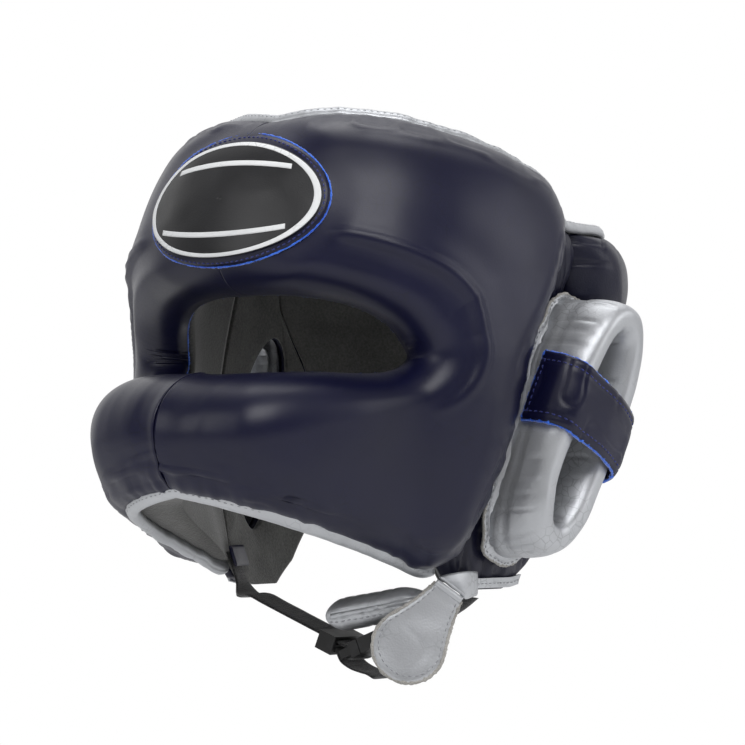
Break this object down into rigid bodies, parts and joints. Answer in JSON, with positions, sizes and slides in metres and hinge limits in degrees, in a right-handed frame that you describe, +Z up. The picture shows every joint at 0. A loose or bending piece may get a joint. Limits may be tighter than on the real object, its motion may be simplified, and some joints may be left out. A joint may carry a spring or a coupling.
{
  "type": "boxing_headguard",
  "caption": "Full-face boxing headguard with a padded face bar, ring-shaped ear pads, laced crown, rear closure strap and a buckled chin strap",
  "frame": {"origin": "eye level in the middle of the head cavity", "axes": "face looks along -Y, +X is the wearer's left, +Z up"},
  "size_m": [0.2438, 0.3028, 0.2566],
  "materials": {
    "navy_leather": "satin",
    "silver_leather": "satin",
    "grey_suede": "matte",
    "foam": "matte",
    "black_webbing": "matte",
    "black_lace": "matte",
    "hook_and_loop": "matte",
    "black_plastic": "satin",
    "badge_print": "satin",
    "eyelet_metal": "satin"
  },
  "bodies": {
    "shell": {"face_cover_left": "navy_leather", "face_cover_right": "navy_leather", "face_lining": "grey_suede", "brow_foam": "foam", "cheek_foam_left": "foam", "cheek_foam_right": "foam", "bar_foam": "foam", "bar_core": "black_plastic", "lower_binding": "silver_leather", "crown_binding": "silver_leather", "badge_backing": "navy_leather", "badge_face": "badge_print", "rear_cover": "navy_leather", "rear_foam": "foam", "rear_lining": "grey_suede", "side_gusset_left": "navy_leather", "side_gusset_right": "navy_leather", "side_lining_left": "grey_suede", "side_lining_right": "grey_suede", "ear_pad_cover_left": "silver_leather", "ear_pad_cover_right": "silver_leather", "ear_pad_foam_left": "foam", "ear_pad_foam_right": "foam", "ear_strap_left": "navy_leather", "ear_strap_right": "navy_leather", "crown_panel_left": "silver_leather", "crown_panel_right": "silver_leather", "crown_tongue": "grey_suede", "crown_lace": "black_lace", "crown_eyelets": "eyelet_metal", "rear_loop_patch": "hook_and_loop", "rear_hinge_tab": "navy_leather", "chin_webbing": "black_webbing", "buckle_plug": "black_plastic", "buckle_socket": "black_plastic", "short_webbing": "black_webbing", "flap_anchor": "silver_leather", "jaw_pad": "silver_leather", "hem_tab_left": "silver_leather", "hem_tab_right": "silver_leather", "webbing_anchor": "navy_leather"},
    "flap": {"cover_flap": "silver_leather"},
    "slider": {"slider": "black_plastic", "webbing_tail": "black_webbing"},
    "arm_front": {"buckle_arm_front": "black_plastic"},
    "arm_rear": {"buckle_arm_rear": "black_plastic"},
    "closure": {"rear_strap": "navy_leather", "rear_hook_patch": "hook_and_loop"}
  },
  "joints": [
    {"name": "cover_flap_fold", "type": "hinge", "parent": "shell", "child": "flap", "pos_m": [0.072, -0.047, -0.104], "axis": [0.674, 0.4424, -0.5916], "range_deg": [-90, 0]},
    {"name": "slider_slide", "type": "slide", "parent": "shell", "child": "slider", "axis": [-0.9272, 0, 0.3746], "range_m": [0, 0.016]},
    {"name": "buckle_arm_front_squeeze", "type": "hinge", "parent": "shell", "child": "arm_front", "pos_m": [0.03511, -0.0575, -0.12792], "axis": [-0.3746, 0, 0.9272], "range_deg": [0, 6], "stiffness_Nm_per_rad": 0.05},
    {"name": "buckle_arm_rear_squeeze", "type": "hinge", "parent": "shell", "child": "arm_rear", "pos_m": [0.03511, -0.0405, -0.12792], "axis": [-0.3746, 0, 0.9272], "range_deg": [-6, 0], "stiffness_Nm_per_rad": 0.05},
    {"name": "rear_strap_peel", "type": "hinge", "parent": "shell", "child": "closure", "pos_m": [0.05418, 0.12643, 0.008], "axis": [0, 0, 1], "range_deg": [-75, 0]}
  ],
  "couplings": [
    {"joint": "buckle_arm_rear_squeeze", "follows": "buckle_arm_front_squeeze", "ratio": -1}
  ]
}
